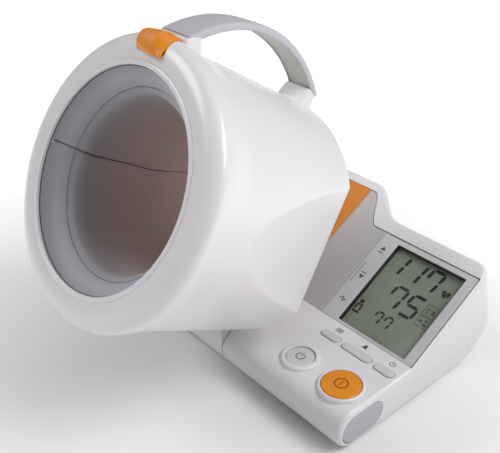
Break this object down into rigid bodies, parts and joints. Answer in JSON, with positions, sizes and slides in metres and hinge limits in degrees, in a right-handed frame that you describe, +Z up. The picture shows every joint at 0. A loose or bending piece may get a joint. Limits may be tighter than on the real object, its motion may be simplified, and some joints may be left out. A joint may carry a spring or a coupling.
{
  "type": "arm-in blood pressure monitor",
  "caption": "Wedge-shaped blood pressure monitor with a display, keys and an elbow rest, and a tilting tubular arm cuff with a carrying handle.",
  "frame": {"origin": "on the table, under the centre of the whole object's box", "axes": "+X to the right of the user who sits at the display, +Y to the back, +Z up"},
  "size_m": [0.2326, 0.305, 0.2568],
  "materials": {
    "casing_white": "satin",
    "barrel_white": "gloss",
    "panel_gray": "matte",
    "pad_orange": "matte",
    "frame_silver": "satin metallic paint",
    "window_clear": "clear",
    "display_glass": "satin",
    "key_rubber": "matte",
    "board_green": "solder mask",
    "black_plastic": "matte",
    "pump_metal": "brushed",
    "valve_metal": "machined",
    "hose_rubber": "matte",
    "cell_wrap": "gloss",
    "contact_metal": "plated",
    "cap_gray": "satin",
    "steel": "plated",
    "bush_brass": "machined",
    "foot_rubber": "matte",
    "key_gray": "satin",
    "button_orange": "satin",
    "cover_gray": "satin",
    "frame_gray": "matte",
    "bladder_rubber": "matte",
    "cuff_fabric": "woven",
    "handle_gray": "satin",
    "handle_under": "satin"
  },
  "bodies": {
    "base": {"lower_case": "casing_white", "upper_case": "casing_white", "elbow_panel": "panel_gray", "elbow_pad": "pad_orange", "display_frame": "frame_silver", "display_window": "window_clear", "display_module": "display_glass", "key_mat": "key_rubber", "main_board": "board_green", "pressure_sensor": "black_plastic", "air_pump": "pump_metal", "exhaust_valve": "valve_metal", "base_hose": "hose_rubber", "batteries": "cell_wrap", "battery_contacts": "contact_metal", "power_inlet": "black_plastic", "end_caps": "cap_gray", "hinge_pin": "steel", "hinge_bushes": "bush_brass", "rubber_feet": "foot_rubber", "case_screws": "steel"},
    "battery_door": {"battery_cover": "casing_white"},
    "power_key": {"power_button": "key_gray"},
    "start_key": {"start_button": "button_orange"},
    "memory_key": {"left_key": "key_gray"},
    "user_key": {"middle_key": "key_gray"},
    "clock_key": {"right_key": "key_gray"},
    "cuff_unit": {"barrel_shell": "barrel_white", "mouth_trim": "barrel_white", "rear_cover": "cover_gray", "rear_screws": "steel", "cuff_frame": "frame_gray", "air_bladder": "bladder_rubber", "cuff_liner": "cuff_fabric", "cuff_hose": "hose_rubber", "handle_grip": "handle_gray", "handle_core": "handle_under"},
    "release_key": {"release_button": "button_orange"}
  },
  "joints": [
    {"name": "cuff_tilt", "type": "hinge", "parent": "base", "child": "cuff_unit", "pos_m": [0, -0.02456, 0.0165], "axis": [1, 0, 0], "range_deg": [-38, 0]},
    {"name": "release_press", "type": "slide", "parent": "cuff_unit", "child": "release_key", "axis": [0, -0.5, -0.866], "range_m": [0, 0.0025], "stiffness_N_per_m": 700, "springref_m": -0.001},
    {"name": "power_press", "type": "slide", "parent": "base", "child": "power_key", "axis": [0, 0, -1], "range_m": [0, 0.0012], "stiffness_N_per_m": 900, "springref_m": -0.0006},
    {"name": "start_press", "type": "slide", "parent": "base", "child": "start_key", "axis": [0, 0, -1], "range_m": [0, 0.0012], "stiffness_N_per_m": 900, "springref_m": -0.0006},
    {"name": "memory_press", "type": "slide", "parent": "base", "child": "memory_key", "axis": [0, 0, -1], "range_m": [0, 0.0012], "stiffness_N_per_m": 900, "springref_m": -0.0006},
    {"name": "user_press", "type": "slide", "parent": "base", "child": "user_key", "axis": [0, 0, -1], "range_m": [0, 0.0012], "stiffness_N_per_m": 900, "springref_m": -0.0006},
    {"name": "clock_press", "type": "slide", "parent": "base", "child": "clock_key", "axis": [0, 0, -1], "range_m": [0, 0.0012], "stiffness_N_per_m": 900, "springref_m": -0.0006},
    {"name": "battery_cover_release", "type": "slide", "parent": "base", "child": "battery_door", "axis": [0, 0, -1], "range_m": [0, 0.012]}
  ]
}
